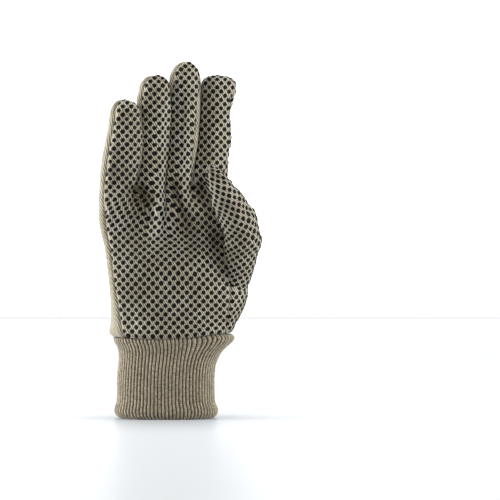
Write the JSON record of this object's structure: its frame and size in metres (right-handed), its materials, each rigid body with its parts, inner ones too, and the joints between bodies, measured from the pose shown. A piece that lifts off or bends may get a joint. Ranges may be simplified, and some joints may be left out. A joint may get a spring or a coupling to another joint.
{
  "type": "cotton work glove",
  "caption": "Right-hand cotton twill work glove with a dotted grip palm, forefinger and thumb, and a ribbed knit wrist cuff.",
  "frame": {"origin": "middle of the opening for the hand, in the plane of the cuff's hem", "axes": "+Z from the cuff to the fingertips, -Y out of the palm, +X towards the thumb"},
  "size_m": [0.1172, 0.063, 0.2607],
  "materials": {
    "dotted_cotton": "bleached-beige cotton twill printed with rows of small black grip dots",
    "cotton_twill": "plain beige cotton twill with a fine diagonal line",
    "rib_knit": "heather beige rib knit, matt and slightly fuzzy",
    "pvc_dots": "black soft vinyl dots, low domes with a dull sheen"
  },
  "bodies": {
    "root": {"palm_panel": "dotted_cotton", "forefinger_back_panel": "dotted_cotton", "thumb": "dotted_cotton", "middle_back_panel": "cotton_twill", "outer_back_panel": "cotton_twill", "knit_cuff": "rib_knit"}
  },
  "joints": []
}
